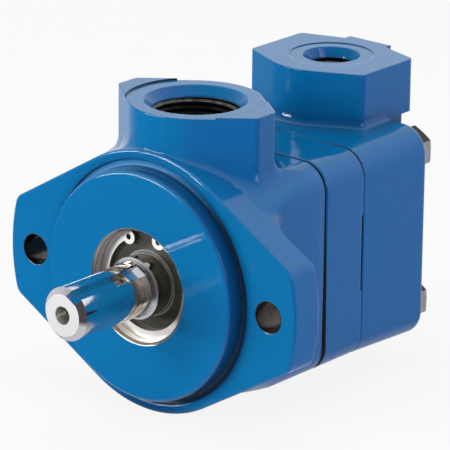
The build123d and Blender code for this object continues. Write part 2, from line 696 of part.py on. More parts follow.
def make_vane(k):
    """A flat vane, drawn in to its slot, with a bevelled tip."""
    tip = ROTOR_R - VANE_DRAWN_IN
    vane = Pos(tip - VANE_L / 2, 0) * Rectangle(VANE_L, VANE_T)
    corner = vane.vertices().sort_by(Axis.X)[-2:].sort_by(Axis.Y)[-1]
    vane = chamfer(corner, VANE_BEVEL)
    vane = Rot(0, 0, VANE_FIRST + 360 / VANE_COUNT * k) * vane
    return slab(vane, RING_Y0 + 2 * FACE_GAP, RING_Y1 - 2 * FACE_GAP)


# ---- pressure plate -----------------------------------------------------------------------------
def make_plate():
    """The floating side plate: outlet kidneys, inlet pockets and under-vane ports."""
    y0, y1 = RING_Y1, RING_Y1 + PLATE_T
    plate = disc(PLATE_R, y0, y1)
    plate = chamfer(edges_at_y(plate, y1), 0.8)
    middle = (y0 + y1) / 2
    half = PLATE_SEAL_W / 2 + 0.2
    groove = disc(PLATE_R + 1, middle - half, middle + half)
    plate -= groove - disc(PLATE_R - PLATE_SEAL_DEPTH, middle - half, middle + half)
    for a in (0, 180):
        plate -= slab(annular_sector(KIDNEY_IN_R + 1, KIDNEY_OUT_R, a, KIDNEY_SPAN), y0 - 1, y1 + 1)
    for a in (90, 270):
        plate -= slab(annular_sector(KIDNEY_IN_R + 2, KIDNEY_OUT_R, a, KIDNEY_SPAN), y0 - 1, y0 + 3)
    for a in range(45, 360, 90):
        plate -= slab(annular_sector(UNDER_PORT_R - 1.4, UNDER_PORT_R, a, 40), y0 - 1, y0 + 2)
    plate -= disc(PLATE_SEAT_R, y1 - PLATE_SEAT_DEPTH, y1 + 1)
    for a in PIN_ANGLES:
        plate -= disc(PIN_R + RUN_GAP, y0 - 1, y0 + PIN_IN_PLATE + PLATE_FLOAT, *polar(PIN_AT, a))
    return plate


def make_spring():
    """A short coil spring with ground ends that holds the plate on the ring."""
    y0 = RING_Y1 + PLATE_T - PLATE_SEAT_DEPTH
    y1 = SPRING_ROOM_END - PLATE_FLOAT
    path = Helix((y1 - y0) / SPRING_TURNS, y1 - y0, SPRING_R)
    coil = sweep(Plane(path @ 0, z_dir=path % 0) * Circle(SPRING_WIRE_R), path)
    coil = Pos(0, y0, 0) * (Rot(-90, 0, 0) * coil)
    return coil & disc(SPRING_R + 2 * SPRING_WIRE_R, y0, y1)


def make_parts():
    rubber, steel = seal_profiles()
    groove_y = RING_Y1 + PLATE_T / 2
    parts = {
        "mounting_body": make_body(),
        "cam_ring": make_ring(),
        "outlet_cover": make_cover(),
        "cover_bolts": make_cover_bolts(),
        "locating_pins": make_pins(),
        "body_face_seal": seal_ring(FACE_SEAL_R, BODY_L - FACE_SEAL_DEPTH, BODY_L, FACE_SEAL_W),
        "cover_face_seal": seal_ring(FACE_SEAL_R, RING_Y1, RING_Y1 + FACE_SEAL_DEPTH, FACE_SEAL_W),
        "retaining_ring": make_clip(),
        "shaft_seal": turned(rubber),
        "shaft_seal_case": turned(steel),
        "shaft_seal_spring": make_garter(),
        "bearing_outer_race": race_profile(True),
        "bearing_inner_race": race_profile(False),
        "bearing_balls": make_balls(),
        "bearing_cage": make_cage(),
        "rear_bushing": disc(BUSH_OUT_R, BODY_L - BUSH_L, BODY_L)
        - disc(JOURNAL_D / 2 + RUN_GAP, BODY_L - BUSH_L, BODY_L),
        "drive_shaft": make_shaft(),
        "shaft_snap_ring": make_snap_ring(),
        "rotor": make_rotor(),
        "pressure_plate": make_plate(),
        "pressure_plate_seal": seal_ring(
            PLATE_R + PLATE_GAP - PLATE_SEAL_DEPTH / 2 - PLATE_GAP / 2,
            groove_y - PLATE_SEAL_W / 2, groove_y + PLATE_SEAL_W / 2, PLATE_SEAL_DEPTH,
        ),
        "pressure_plate_spring": make_spring(),
    }
    for k in range(VANE_COUNT):
        parts[f"vane_{k + 1:02d}"] = make_vane(k)
    return parts


if __name__ == "__main__":
    os.makedirs("parts", exist_ok=True)
    for name, shape in make_parts().items():
        export_step(shape, f"parts/{name}.step")
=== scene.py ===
# %% [markdown]
# # A hydraulic vane pump, dressed for the shelf
#
# This lesson takes the measured model of a small industrial vane pump and gives it the looks
# of the real thing: thick blue machine enamel over iron castings, a ground steel shaft, a
# rubber shaft seal behind a spring clip, and plated cover screws. The measured model is the
# frame: its parts are never moved or reshaped. We only add what they lack, such as screw
# threads, casting fillets and finishes, and one ring stands in for a part of the frame.
#
# We start with the frame. Blender works in metres, so sizes given in millimetres are
# multiplied by MM.

# %% Load the frame
import math
from types import SimpleNamespace

import bpy
from mathutils import Matrix, Vector
from mathutils.bvhtree import BVHTree


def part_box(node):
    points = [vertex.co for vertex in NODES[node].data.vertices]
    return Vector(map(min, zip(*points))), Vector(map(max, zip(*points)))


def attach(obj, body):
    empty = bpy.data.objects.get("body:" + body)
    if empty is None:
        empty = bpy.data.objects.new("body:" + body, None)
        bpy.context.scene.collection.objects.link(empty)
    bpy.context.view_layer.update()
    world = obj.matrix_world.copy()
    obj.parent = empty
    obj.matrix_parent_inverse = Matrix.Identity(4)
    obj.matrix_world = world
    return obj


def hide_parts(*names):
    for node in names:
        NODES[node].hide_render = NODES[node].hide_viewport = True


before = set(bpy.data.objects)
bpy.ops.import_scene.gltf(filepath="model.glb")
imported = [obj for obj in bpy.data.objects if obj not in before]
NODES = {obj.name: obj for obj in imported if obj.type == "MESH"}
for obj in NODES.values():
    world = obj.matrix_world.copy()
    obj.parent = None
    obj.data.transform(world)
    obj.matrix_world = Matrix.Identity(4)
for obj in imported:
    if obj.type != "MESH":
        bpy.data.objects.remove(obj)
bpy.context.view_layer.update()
MM = 0.001

# %% [markdown]
# ## Measures from the frame
#
# The shaft runs along Y through the origin and the drive end points to -Y. The mounting
# flange's front face is the plane y = 0. The two hose ports open upwards. We read the places
# that the later steps need from the boxes of the parts, so that they follow the model.

# %% Places of the main forms
body_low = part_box("mounting_body")[0]
cover_low, cover_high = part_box("outlet_cover")
ring_low, ring_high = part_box("cam_ring")
INLET_AXIS_Y = 24.3 * MM
OUTLET_AXIS_Y = 99.4 * MM
print("castings from y =", round(body_low.y, 4), "to", round(cover_high.y, 4))

# %% [markdown]
# ## The camera
#
# A product picture is taken from far away with a long lens, so that parallel edges stay
# nearly parallel. The camera stands in front, to the right and a little above. We give its
# direction as two angles, its distance, and the point that it looks at. A very small roll
# finishes it, because no tripod stands perfectly level.

# %% Camera
AIM = Vector((0.17, 40.43, 10.80)) * MM
AZIMUTH, ELEVATION, ROLL = math.radians(39.775), math.radians(18.680), math.radians(0.605)
DISTANCE = 1342.3 * MM
LENS_LENGTH, SENSOR_WIDTH = 305.07, 36.0  # both in millimetres, as on a real camera
away = Vector((
    math.sin(AZIMUTH) * math.cos(ELEVATION),
    -math.cos(AZIMUTH) * math.cos(ELEVATION),
    math.sin(ELEVATION),
))
lens = bpy.data.cameras.new("product_camera")
lens.lens, lens.sensor_width = LENS_LENGTH, SENSOR_WIDTH
lens.clip_start, lens.clip_end = 0.05, 20.0
camera = bpy.data.objects.new("product_camera", lens)
bpy.context.scene.collection.objects.link(camera)
camera.location = AIM + away * DISTANCE
level = away.to_track_quat("Z", "Y").to_matrix()
camera.rotation_euler = (level @ Matrix.Rotation(ROLL, 3, "Z")).to_euler()
bpy.context.scene.camera = camera
bpy.context.scene.view_settings.view_transform = "Standard"
print("camera stands", round(DISTANCE, 3), "m away, lens", lens.lens, "mm")

# %% [markdown]
# ## The studio
#
# A catalogue picture has a white floor and white walls. Glossy enamel and ground steel show
# their surroundings, so a bright room is what makes them look right. What the camera sees
# past the pump is pure white: the Light Path node swaps in a white glow for camera rays only,
# so the room does not pour extra light on the object.
#
# Mirrors see a room of their own. It is bright behind and above the object, dim in front,
# and has a white table below. Without the dim end, the front faces would look milky.

# %% Node helpers
def fresh_nodes(owner):
    """Empty the node tree of a material or world and give it back."""
    owner.use_nodes = True
    tree = owner.node_tree
    tree.nodes.clear()
    return tree


def put(tree, socket, value):
    """Link a socket to another one, or set it to a plain value."""
    if isinstance(value, bpy.types.NodeSocket):
        tree.links.new(value, socket)
    else:
        socket.default_value = value


def node(tree, kind, **inputs):
    """Add a node. Its inputs go by name, with _ for a space, or by number, as in _0."""
    made = tree.nodes.new(kind)
    for key, value in inputs.items():
        number = key[1:]
        socket = made.inputs[int(number)] if number.isdigit() else made.inputs[key.replace("_", " ")]
        put(tree, socket, value)
    return made


def maths(tree, operation, a, b=0.0):
    """One step of arithmetic on two values."""
    made = node(tree, "ShaderNodeMath", _0=a, _1=b)
    made.operation = operation
    return made.outputs[0]


# %% World
WHITE = (1.0, 1.0, 1.0, 1.0)
ROOM_TINT, ROOM_LIGHT = (0.93, 0.95, 1.0, 1.0), 0.36
MIRROR_TINT = (0.88, 0.90, 1.0, 1.0)
BRIGHT_END = (-0.22, 0.78, 0.58)  # the way from the object to the bright end of the room
DIM_LIGHT, BRIGHT_LIGHT, TABLE_LIGHT = 0.07, 1.1, 0.60

world = bpy.data.worlds.new("white_room")
bpy.context.scene.world = world
tree = fresh_nodes(world)
rays = node(tree, "ShaderNodeLightPath")
room = node(tree, "ShaderNodeBackground", Color=ROOM_TINT, Strength=ROOM_LIGHT)
white = node(tree, "ShaderNodeBackground", Color=WHITE, Strength=1.0)
heading = node(tree, "ShaderNodeTexCoord").outputs["Generated"]
towards = node(tree, "ShaderNodeVectorMath", _0=heading, _1=BRIGHT_END)
towards.operation = "DOT_PRODUCT"
walls = node(tree, "ShaderNodeMapRange", _0=towards.outputs["Value"], _1=-0.15, _2=0.78,
             _3=DIM_LIGHT, _4=BRIGHT_LIGHT)
height = node(tree, "ShaderNodeSeparateXYZ", Vector=heading).outputs[2]
table = node(tree, "ShaderNodeMapRange", _0=height, _1=-0.40, _2=-0.70, _3=0.0, _4=TABLE_LIGHT)
mirror_light = maths(tree, "MAXIMUM", walls.outputs[0], table.outputs[0])
mirror_room = node(tree, "ShaderNodeBackground", Color=MIRROR_TINT, Strength=mirror_light)
lighting = node(tree, "ShaderNodeMixShader", _0=rays.outputs["Is Glossy Ray"],
                _1=room.outputs[0], _2=mirror_room.outputs[0])
direct = maths(tree, "MAXIMUM", rays.outputs["Is Camera Ray"], rays.outputs["Is Transmission Ray"])
choice = node(tree, "ShaderNodeMixShader", _0=direct, _1=lighting.outputs[0], _2=white.outputs[0])
node(tree, "ShaderNodeOutputWorld", Surface=choice.outputs[0])
print("world:", world.name)

# %% [markdown]
# The floor is one large plane just under the lowest point of the castings. Its shader is a
# matt, nearly white sheet, mixed towards pure white for the camera, so that the soft shadow
# stays faint as on a light table.

# %% Floor
FLOOR_GAP = 0.1 * MM
GLOW_SHARE = 0.88  # how much of the floor's look is plain white
floor_z = min(body_low.z, cover_low.z) - FLOOR_GAP
bpy.ops.object.select_all(action="DESELECT")
bpy.ops.mesh.primitive_plane_add(size=8.0, location=(0.0, 0.5, floor_z))
floor = bpy.context.object
floor.name = "studio_floor"
paper = bpy.data.materials.new("pale_paper")
tree = fresh_nodes(paper)
rays = node(tree, "ShaderNodeLightPath")
sheet = node(tree, "ShaderNodeBsdfDiffuse", Color=(0.86, 0.86, 0.87, 1.0))
glow = node(tree, "ShaderNodeEmission", Color=WHITE, Strength=1.0)
share = maths(tree, "MULTIPLY", rays.outputs["Is Camera Ray"], GLOW_SHARE)
mixed = node(tree, "ShaderNodeMixShader", _0=share, _1=sheet.outputs[0], _2=glow.outputs[0])
node(tree, "ShaderNodeOutputMaterial", Surface=mixed.outputs[0])
floor.data.materials.append(paper)
floor.visible_glossy = False
print("floor at z =", round(floor_z, 4))

# %% [markdown]
# Four lamps light it softly. The key lamp stands in front on the left, where the front face
# sees it. A broad one overhead lights the tops, and it is left out of the mirrors, because
# it would show as a white square in the enamel. A weak one on the right leaves the long side
# darker than the front. The last one is low on the left and fills the underside.

# %% Lamps
def soft_lamp(name, place, size, watts, in_mirrors=True):
    """A rectangular lamp that looks at the middle of the pump."""
    data = bpy.data.lights.new(name, "AREA")
    data.shape, data.size, data.size_y, data.energy = "RECTANGLE", size[0], size[1], watts
    lamp = bpy.data.objects.new(name, data)
    bpy.context.scene.collection.objects.link(lamp)
    lamp.location = place
    lamp.rotation_euler = (Vector(place) - AIM).to_track_quat("Z", "Y").to_euler()
    lamp.visible_glossy = in_mirrors
    return lamp


lamps = [
    soft_lamp("key_softbox", (-0.42, -0.85, 0.34), (0.30, 0.28), 3.3),
    soft_lamp("top_softbox", (-0.1, 0.1, 1.2), (0.9, 0.9), 6.0, in_mirrors=False),
    soft_lamp("side_softbox", (1.3, -0.1, 0.5), (0.7, 0.7), 3.0),
    soft_lamp("low_softbox", (-0.70, -0.80, 0.06), (0.40, 0.16), 4.0),
]
print("lamps:", len(lamps))

# %% [markdown]
# ## Finishes
#
# Each finish is a small network of nodes around one Principled shader. Patterns read Object
# coordinates, so they stay fixed to the metal. Distances in the patterns are real: one unit
# of the coordinates is one metre, so a noise of scale 700 has grains of about 1.4 mm.
#
# Many finishes change from place to place, such as bare metal in a painted casting. A mask
# says where: it is a value that is 1 in the place and 0 elsewhere, with a short soft step
# between. Multiplied masks overlap, and the larger of two masks joins them.

# %% Finish helpers
def shader(name):
    """A new material with its Object coordinates and an empty Principled shader."""
    finish = bpy.data.materials.new(name)
    tree = fresh_nodes(finish)
    place = node(tree, "ShaderNodeTexCoord").outputs["Object"]
    skin = node(tree, "ShaderNodeBsdfPrincipled")
    node(tree, "ShaderNodeOutputMaterial", Surface=skin.outputs[0])
    return finish, tree, place, skin


def noise(tree, place, scale, detail=3.0, rough=0.5):
    """A cloudy pattern, mostly between 0.3 and 0.7."""
    made = node(tree, "ShaderNodeTexNoise", Vector=place, Scale=scale, Detail=detail, Roughness=rough)
    return made.outputs["Fac"]


def between(tree, value, low, high, at_low=0.0, at_high=1.0):
    """A smooth step of a value: at_low below low and at_high above high."""
    made = node(tree, "ShaderNodeMapRange", _0=value, _1=low, _2=high, _3=at_low, _4=at_high)
    made.interpolation_type = "SMOOTHSTEP"
    return made.outputs[0]


def blend_colours(tree, factor, first, second):
    """The first colour where factor is 0, the second where it is 1."""
    made = tree.nodes.new("ShaderNodeMix")
    made.data_type = "RGBA"
    for socket, value in ((made.inputs[0], factor), (made.inputs[6], first), (made.inputs[7], second)):
        put(tree, socket, value)
    return made.outputs[2]


def bumps(tree, height, distance, under=None):
    """Small relief of a pattern, laid over the relief that is given as under."""
    made = node(tree, "ShaderNodeBump", Distance=distance, Height=height)
    made.inputs["Strength"].default_value = 1.0
    if under is not None:
        tree.links.new(under, made.inputs["Normal"])
    return made.outputs["Normal"]


def connect(tree, skin, **inputs):
    """Give the Principled shader its inputs by name."""
    for key, value in inputs.items():
        put(tree, skin.inputs[key.replace("_", " ")], value)


# %% Mask helpers
def above(tree, value, limit, blur):
    return between(tree, value, limit, limit + blur)


def below(tree, value, limit, blur):
    return between(tree, value, limit, limit + blur, 1.0, 0.0)


def away_from(tree, value, centre):
    """How far a value is from a fixed one, on either side."""
    return maths(tree, "ABSOLUTE", maths(tree, "SUBTRACT", value, centre))


def opposite(tree, mask):
    return maths(tree, "SUBTRACT", 1.0, mask)


def overlap(tree, *masks):
    joined = masks[0]
    for mask in masks[1:]:
        joined = maths(tree, "MULTIPLY", joined, mask)
    return joined


def either(tree, *masks):
    joined = masks[0]
    for mask in masks[1:]:
        joined = maths(tree, "MAXIMUM", joined, mask)
    return joined


def face_direction(tree):
    """The X, Y and Z parts of the direction in which each face looks."""
    normal = node(tree, "ShaderNodeNewGeometry").outputs["True Normal"]
    return node(tree, "ShaderNodeSeparateXYZ", Vector=normal).outputs


def axis_distance(tree, place, axis, centre=(0.0, 0.0, 0.0)):
    """Distance of each point from a line through centre along one axis."""
    moved = node(tree, "ShaderNodeVectorMath", _0=place, _1=centre)
    moved.operation = "SUBTRACT"
    keep = tuple(0.0 if k == "XYZ".index(axis) else 1.0 for k in range(3))
    flat = node(tree, "ShaderNodeVectorMath", _0=moved.outputs[0], _1=keep)
    flat.operation = "MULTIPLY"
    size = node(tree, "ShaderNodeVectorMath", _0=flat.outputs[0])
    size.operation = "LENGTH"
    return size.outputs["Value"]


def turning_lines(tree, off_axis, pitch):
    """Fine rings round an axis, as a lathe tool leaves them."""
    return maths(tree, "SINE", maths(tree, "MULTIPLY", off_axis, pitch))


print("finish helpers ready")

# %% [markdown]
# ### Blue machine enamel
#
# The three castings are bolted together and then sprayed in one go, so one finish covers
# them. Real enamel is never perfectly flat: it has a faint orange-peel, and over the
# sand-cast skin it keeps some of the grain. Its corners get painted shade. On the faces
# that were turned or milled before painting the grain is gone and faint tool rings remain
# instead. Inside the bores the paint was masked off, so bare metal shows there.
#
# We first read where a point of a casting lies, then turn that into masks.

# %% Where a point of a casting lies
def casting_readings(tree, place):
    at = SimpleNamespace(place=place)
    at.x, at.y, at.z = node(tree, "ShaderNodeSeparateXYZ", Vector=place).outputs
    at.side = maths(tree, "ABSOLUTE", at.x)
    at.faces_x, at.faces_y, at.faces_z = face_direction(tree)
    at.off_shaft = axis_distance(tree, place, "Y")
    at.off_inlet = axis_distance(tree, place, "Z", (0.0, INLET_AXIS_Y, 0.0))
    at.off_outlet = axis_distance(tree, place, "Z", (0.0, OUTLET_AXIS_Y, 0.0))
    return at


# %% Machined faces
FLANGE_FACE_END = 1.2 * MM  # everything in front of this was turned in one clamping
PORT_FACE_Z = 60.2 * MM
SQUARE_FROM, SQUARE_AT = 0.90, 0.97  # how squarely a face has to look along the axis


def machined_masks(tree, at):
    """The zone of the flange's face, the turned faces in it, and the faces of the ports."""
    zone = below(tree, at.y, FLANGE_FACE_END, 0.3 * MM)
    looks_along = between(tree, maths(tree, "ABSOLUTE", at.faces_y), SQUARE_FROM, SQUARE_AT)
    looks_up = between(tree, at.faces_z, SQUARE_FROM, SQUARE_AT)
    tops = overlap(tree, above(tree, at.z, PORT_FACE_Z, 0.2 * MM), looks_up)
    return zone, overlap(tree, zone, looks_along), tops


# %% Unpainted places
FRONT_BORE_R, FRONT_BORE_END = 20.9 * MM, 60.0 * MM
PORT_FLOOR_Z = -6.0 * MM
INLET_BARE_R, INLET_BARE_TOP = 16.1 * MM, 56.4 * MM
OUTLET_BARE_R, OUTLET_BARE_TOP = 9.0 * MM, 56.6 * MM
MOUNTING_HOLE_X, MOUNTING_HOLE_R = 53.2 * MM, 5.7 * MM


def unpainted_masks(tree, at):
    """The bright front bore, and the oily places: the threads and the mounting holes."""
    bore = overlap(tree, below(tree, at.off_shaft, FRONT_BORE_R, 0.15 * MM),
                   below(tree, at.y, FRONT_BORE_END, 1.0 * MM))
    inlet = overlap(tree, below(tree, at.off_inlet, INLET_BARE_R, 0.2 * MM),
                    below(tree, at.z, INLET_BARE_TOP, 0.5 * MM))
    outlet = overlap(tree, below(tree, at.off_outlet, OUTLET_BARE_R, 0.1 * MM),
                     below(tree, at.z, OUTLET_BARE_TOP, 0.4 * MM))
    ports = overlap(tree, either(tree, inlet, outlet), above(tree, at.z, PORT_FLOOR_Z, 1.0 * MM))
    across = maths(tree, "SUBTRACT", at.side, MOUNTING_HOLE_X)
    off_hole = maths(tree, "SQRT", maths(tree, "ADD", maths(tree, "MULTIPLY", across, across),
                                         maths(tree, "MULTIPLY", at.z, at.z)))
    return bore, either(tree, ports, below(tree, off_hole, MOUNTING_HOLE_R, 0.1 * MM))


# %% [markdown]
# The narrow grooves get painted shade: near-black paint where they lie hidden. The front
# joint is wider at the bottom, where the two castings are rounded more. The rear joint gets
# it in broken stretches near the top corners, and only faintly along the sides. The pry slot
# in the ring is dark at its upper end and fades downwards. The little wall round the inlet's
# spotface gets it too.

# %% Painted shade in the grooves
JOINT_TOP_Z = 41.0 * MM
FRONT_JOINT_LOW, FRONT_JOINT_HIGH = (-34.0 * MM, 1.30 * MM), (30.0 * MM, 0.50 * MM)  # z, half width
REAR_JOINT_HALF = 0.35 * MM
REAR_JOINT_DARK_Z = (30.0 * MM, 33.0 * MM)
SLOT_WALL_X, SLOT_HALF = 41.3 * MM, 1.1 * MM
SLOT_TOP_Z, SLOT_FADE_Z = 17.6 * MM, (-11.0 * MM, -3.0 * MM)
STEP_R, STEP_Z = 24.6 * MM, 60.45 * MM  # the little wall round the inlet's spotface


# painted shade in the joints, the pry slot and round the inlet's spotface
def painted_groove_shade_mask(tree, at):
    (low_z, low_half), (high_z, high_half) = FRONT_JOINT_LOW, FRONT_JOINT_HIGH
    front_half = between(tree, at.z, low_z, high_z, low_half, high_half)
    front_joint = maths(tree, "LESS_THAN", away_from(tree, at.y, ring_low.y), front_half)
    from_rear = away_from(tree, at.y, ring_high.y)
    broken = between(tree, noise(tree, at.place, 45.0, 2.0), 0.42, 0.60, 0.10, 1.0)
    rear_joint = overlap(tree, below(tree, from_rear, REAR_JOINT_HALF, 0.15 * MM), broken,
                         between(tree, at.z, *REAR_JOINT_DARK_Z, 0.08, 1.0))
    joints = overlap(tree, either(tree, front_joint, rear_joint),
                     below(tree, at.z, JOINT_TOP_Z, 0.3 * MM))
    slot = overlap(tree, below(tree, from_rear, SLOT_HALF, 0.1 * MM),
                   below(tree, at.side, SLOT_WALL_X, 0.2 * MM),
                   below(tree, at.z, SLOT_TOP_Z, 0.2 * MM), between(tree, at.z, *SLOT_FADE_Z))
    step = overlap(tree, above(tree, at.z, STEP_Z, 0.1 * MM),
                   below(tree, away_from(tree, at.off_inlet, STEP_R), 0.12 * MM, 0.08 * MM))
    return either(tree, joints, slot, step)


# %% [markdown]
# The colour of the paint starts as two close blues in large soft patches. The long side
# towards +X gets a painted reflection of the blue end of the room, a little more violet.
# Corners get painted shade. The groove that was turned round the pilot gets painted light on
# its upper left and painted shade on its lower right, and the pilot's rim gets painted shade.

# %% Colours of the paint
BLUE_THIN, BLUE_THICK = (0.0025, 0.158, 0.385, 1.0), (0.004, 0.172, 0.415, 1.0)
# a painted reflection for the long side towards +X
PAINTED_SIDE_REFLECTION_BLUE = (0.008, 0.158, 0.470, 1.0)
# painted shade for the corners
PAINTED_CORNER_SHADE_BLUE = (0.002, 0.050, 0.165, 1.0)
RING_SHADED, RING_LIT = (0.006, 0.050, 0.115, 1.0), (0.006, 0.200, 0.480, 1.0)
SPIGOT_SHADE = (0.004, 0.050, 0.150, 1.0)
RING_INNER_R, RING_OUTER_R = 40.9 * MM, 44.0 * MM
RING_LIT_ACROSS = (-35.0 * MM, 10.0 * MM)  # from its lit upper left to its shaded lower right
SPIGOT_RIM_R, SPIGOT_OUTER_R = (40.8 * MM, 41.1 * MM), 42.0 * MM


def paint_colour(tree, at, zone, openness):
    """The blue of the paint with its painted shade and reflection, and where the turned groove round
    the pilot lies.
    """
    colour = blend_colours(tree, noise(tree, at.place, 22.0, 2.0), BLUE_THIN, BLUE_THICK)
    # the long side towards +X gets a painted reflection: a more violet blue
    colour = blend_colours(tree, between(tree, at.faces_x, 0.3, 0.8), colour, PAINTED_SIDE_REFLECTION_BLUE)
    # painted shade in corners, where the Ambient Occlusion node finds a place hidden
    colour = blend_colours(tree, between(tree, openness, 0.35, 0.98), PAINTED_CORNER_SHADE_BLUE, colour)
    ring = overlap(tree, above(tree, at.y, 0.2 * MM, 0.3 * MM), zone,
                   below(tree, at.off_shaft, RING_OUTER_R, 0.1 * MM),
                   above(tree, at.off_shaft, RING_INNER_R, 0.2 * MM))
    lit = between(tree, maths(tree, "SUBTRACT", at.x, at.z), *RING_LIT_ACROSS, 1.0, 0.0)
    colour = blend_colours(tree, ring, colour, blend_colours(tree, lit, RING_SHADED, RING_LIT))
    spigot = overlap(tree, below(tree, at.y, 0.2 * MM, 0.2 * MM),
                     below(tree, at.off_shaft, SPIGOT_OUTER_R, 0.1 * MM),
                     between(tree, at.off_shaft, *SPIGOT_RIM_R, 0.0, 0.6))
    return blend_colours(tree, spigot, colour, SPIGOT_SHADE), ring


# %% Colours of the bare metal
BORE_DARK, BORE_BRIGHT = (0.36, 0.32, 0.27, 1.0), (0.60, 0.56, 0.51, 1.0)
OIL_DARK, OIL_BRIGHT = (0.035, 0.030, 0.024, 1.0), (0.120, 0.098, 0.080, 1.0)
# painted shade for the grooves
PAINTED_GROOVE_SHADE = (0.0015, 0.006, 0.012, 1.0)


def metal_colour(tree, at, oily):
    """Clean metal in the bore, and brown oily metal in the threads and holes."""
    clean = blend_colours(tree, noise(tree, at.place, 260.0), BORE_DARK, BORE_BRIGHT)
    brown = blend_colours(tree, noise(tree, at.place, 350.0), OIL_DARK, OIL_BRIGHT)
    return blend_colours(tree, oily, clean, brown)


# %% [markdown]
# A sprayed casting has no sharp edge. Two Bevel nodes round the edges in the shading: a crisp
# one for outer edges and a soft one for inner corners, chosen by how hidden a place is. The
# neck behind the flange is the most rounded part, so the crisp one is wider there.

# %% Relief of the paint
CRISP_R, NECK_EXTRA_R, SOFT_R = 0.8 * MM, 4.0 * MM, 1.6 * MM
NECK_FROM_Y, NECK_TO_Y, NECK_TOP_Z = 13.2 * MM, 42.0 * MM, 39.5 * MM
RING_PITCH = 9000.0
PEEL_DEPTH, GRAIN_DEPTH, RING_DEPTH = 0.07 * MM, 0.03 * MM, 0.003 * MM


def rounded_edges(tree, at, openness):
    neck = overlap(tree, above(tree, at.y, NECK_FROM_Y, 1.8 * MM),
                   below(tree, at.y, NECK_TO_Y, 1.5 * MM), below(tree, at.z, NECK_TOP_Z, 0.5 * MM))
    radius = maths(tree, "ADD", CRISP_R, maths(tree, "MULTIPLY", neck, NECK_EXTRA_R))
    crisp = node(tree, "ShaderNodeBevel", Radius=radius)
    soft = node(tree, "ShaderNodeBevel", Radius=SOFT_R)
    crisp.samples = soft.samples = 8
    hidden = overlap(tree, between(tree, openness, 0.60, 0.85, 1.0, 0.0), opposite(tree, neck))
    rounded = node(tree, "ShaderNodeMix", _0=hidden)
    rounded.data_type = "VECTOR"
    tree.links.new(crisp.outputs["Normal"], rounded.inputs[4])
    tree.links.new(soft.outputs["Normal"], rounded.inputs[5])
    return rounded.outputs[1]


def paint_relief(tree, at, front, tops, under):
    machined = either(tree, front, tops)
    smoothed = opposite(tree, maths(tree, "MULTIPLY", machined, 0.75))
    peel = overlap(tree, noise(tree, at.place, 260.0, 2.0), smoothed)
    grain = overlap(tree, noise(tree, at.place, 900.0, 3.0, 0.6), opposite(tree, machined))
    off_port = maths(tree, "MINIMUM", at.off_inlet, at.off_outlet)
    rings = maths(tree, "ADD", overlap(tree, turning_lines(tree, at.off_shaft, RING_PITCH), front),
                  overlap(tree, turning_lines(tree, off_port, RING_PITCH), tops))
    relief = bumps(tree, peel, PEEL_DEPTH, under=under)
    relief = bumps(tree, grain, GRAIN_DEPTH, under=relief)
    return bumps(tree, rings, RING_DEPTH, under=relief)


# %% [markdown]
# Now the enamel is put together. The openness of a place comes from the Ambient Occlusion
# node: 1 on open faces, less in corners. On the casting fillets, which are round already,
# the Bevel nodes are left out.

# %% Enamel
# how far the Ambient Occlusion node looks; it also sets the painted corner shade
CORNER_REACH = 8.0 * MM
PAINT_IOR = 1.48


def make_enamel(name, rounding=True):
    finish, tree, place, skin = shader(name)
    at = casting_readings(tree, place)
    zone, front, tops = machined_masks(tree, at)
    bore, oily = unpainted_masks(tree, at)
    bare, shaded_grooves = either(tree, bore, oily), painted_groove_shade_mask(tree, at)
    corner = node(tree, "ShaderNodeAmbientOcclusion", Distance=CORNER_REACH)
    corner.samples = 8
    openness = corner.outputs["AO"]

    colour, ring = paint_colour(tree, at, zone, openness)
    colour = blend_colours(tree, bare, colour, metal_colour(tree, at, oily))
    # the grooves get near-black painted shade
    colour = blend_colours(tree, shaded_grooves, colour, PAINTED_GROOVE_SHADE)

    gloss = between(tree, noise(tree, place, 60.0, 2.0), 0.3, 0.7, 0.05, 0.09)
    gloss = overlap(tree, gloss, opposite(tree, maths(tree, "MULTIPLY", front, 0.65)))
    gloss = maths(tree, "ADD", gloss, maths(tree, "MULTIPLY", bare, 0.14))
    gloss = maths(tree, "ADD", gloss, maths(tree, "MULTIPLY", either(tree, shaded_grooves, ring), 0.4))

    under = rounded_edges(tree, at, openness) if rounding else None
    relief = paint_relief(tree, at, front, tops, under)
    connect(tree, skin, Base_Color=colour, Roughness=gloss, Metallic=bare, Normal=relief, IOR=PAINT_IOR)
    return finish


enamel = make_enamel("blue_enamel")
enamel_on_fillets = make_enamel("blue_enamel_on_fillets", rounding=False)
print("finishes:", enamel.name, "and", enamel_on_fillets.name)

# %% [markdown]
# ### Bare metals
#
# Steel parts differ in how they were made. A ground shaft has hair-fine marks round its axis
# and mirrors its surroundings. Plated screws are a little milky, and their upper flats get
# painted shade. A sintered part is matt and speckled. One recipe with a few knobs gives them
# all: a tint, a roughness, the size of its speckle, and the depth and direction of its tool marks.
#
# The shaft's end and the clip were also faced, cut square to the shaft. Such a face is rougher
# than a ground one, and where it looks forward it gets a nearly white painted highlight. The
# shaft's centre hole is drilled and duller.

# %% Faced ends
# a nearly white painted highlight for forward-looking faced faces, and the drilled hole's grey
FACED_PAINTED_HIGHLIGHT, DRILLED = (0.97, 0.95, 0.94, 1.0), (0.50, 0.50, 0.45, 1.0)
# the collar's painted highlight covers only its outer rim
COLLAR_RIM_R = 10.4 * MM  # of the collar only the outer rim catches the light
END_REGION_Y = -30.0 * MM  # the shaft's free end lies in front of this
DRILLED_END_Y = -35.0 * MM
FACING_PITCH, FACING_DEPTH = 14000.0, 0.002 * MM
LOOKS_FORWARD, SLANTED = (-0.69, -0.60), (-0.95, -0.80)  # soft steps of a face's Y direction


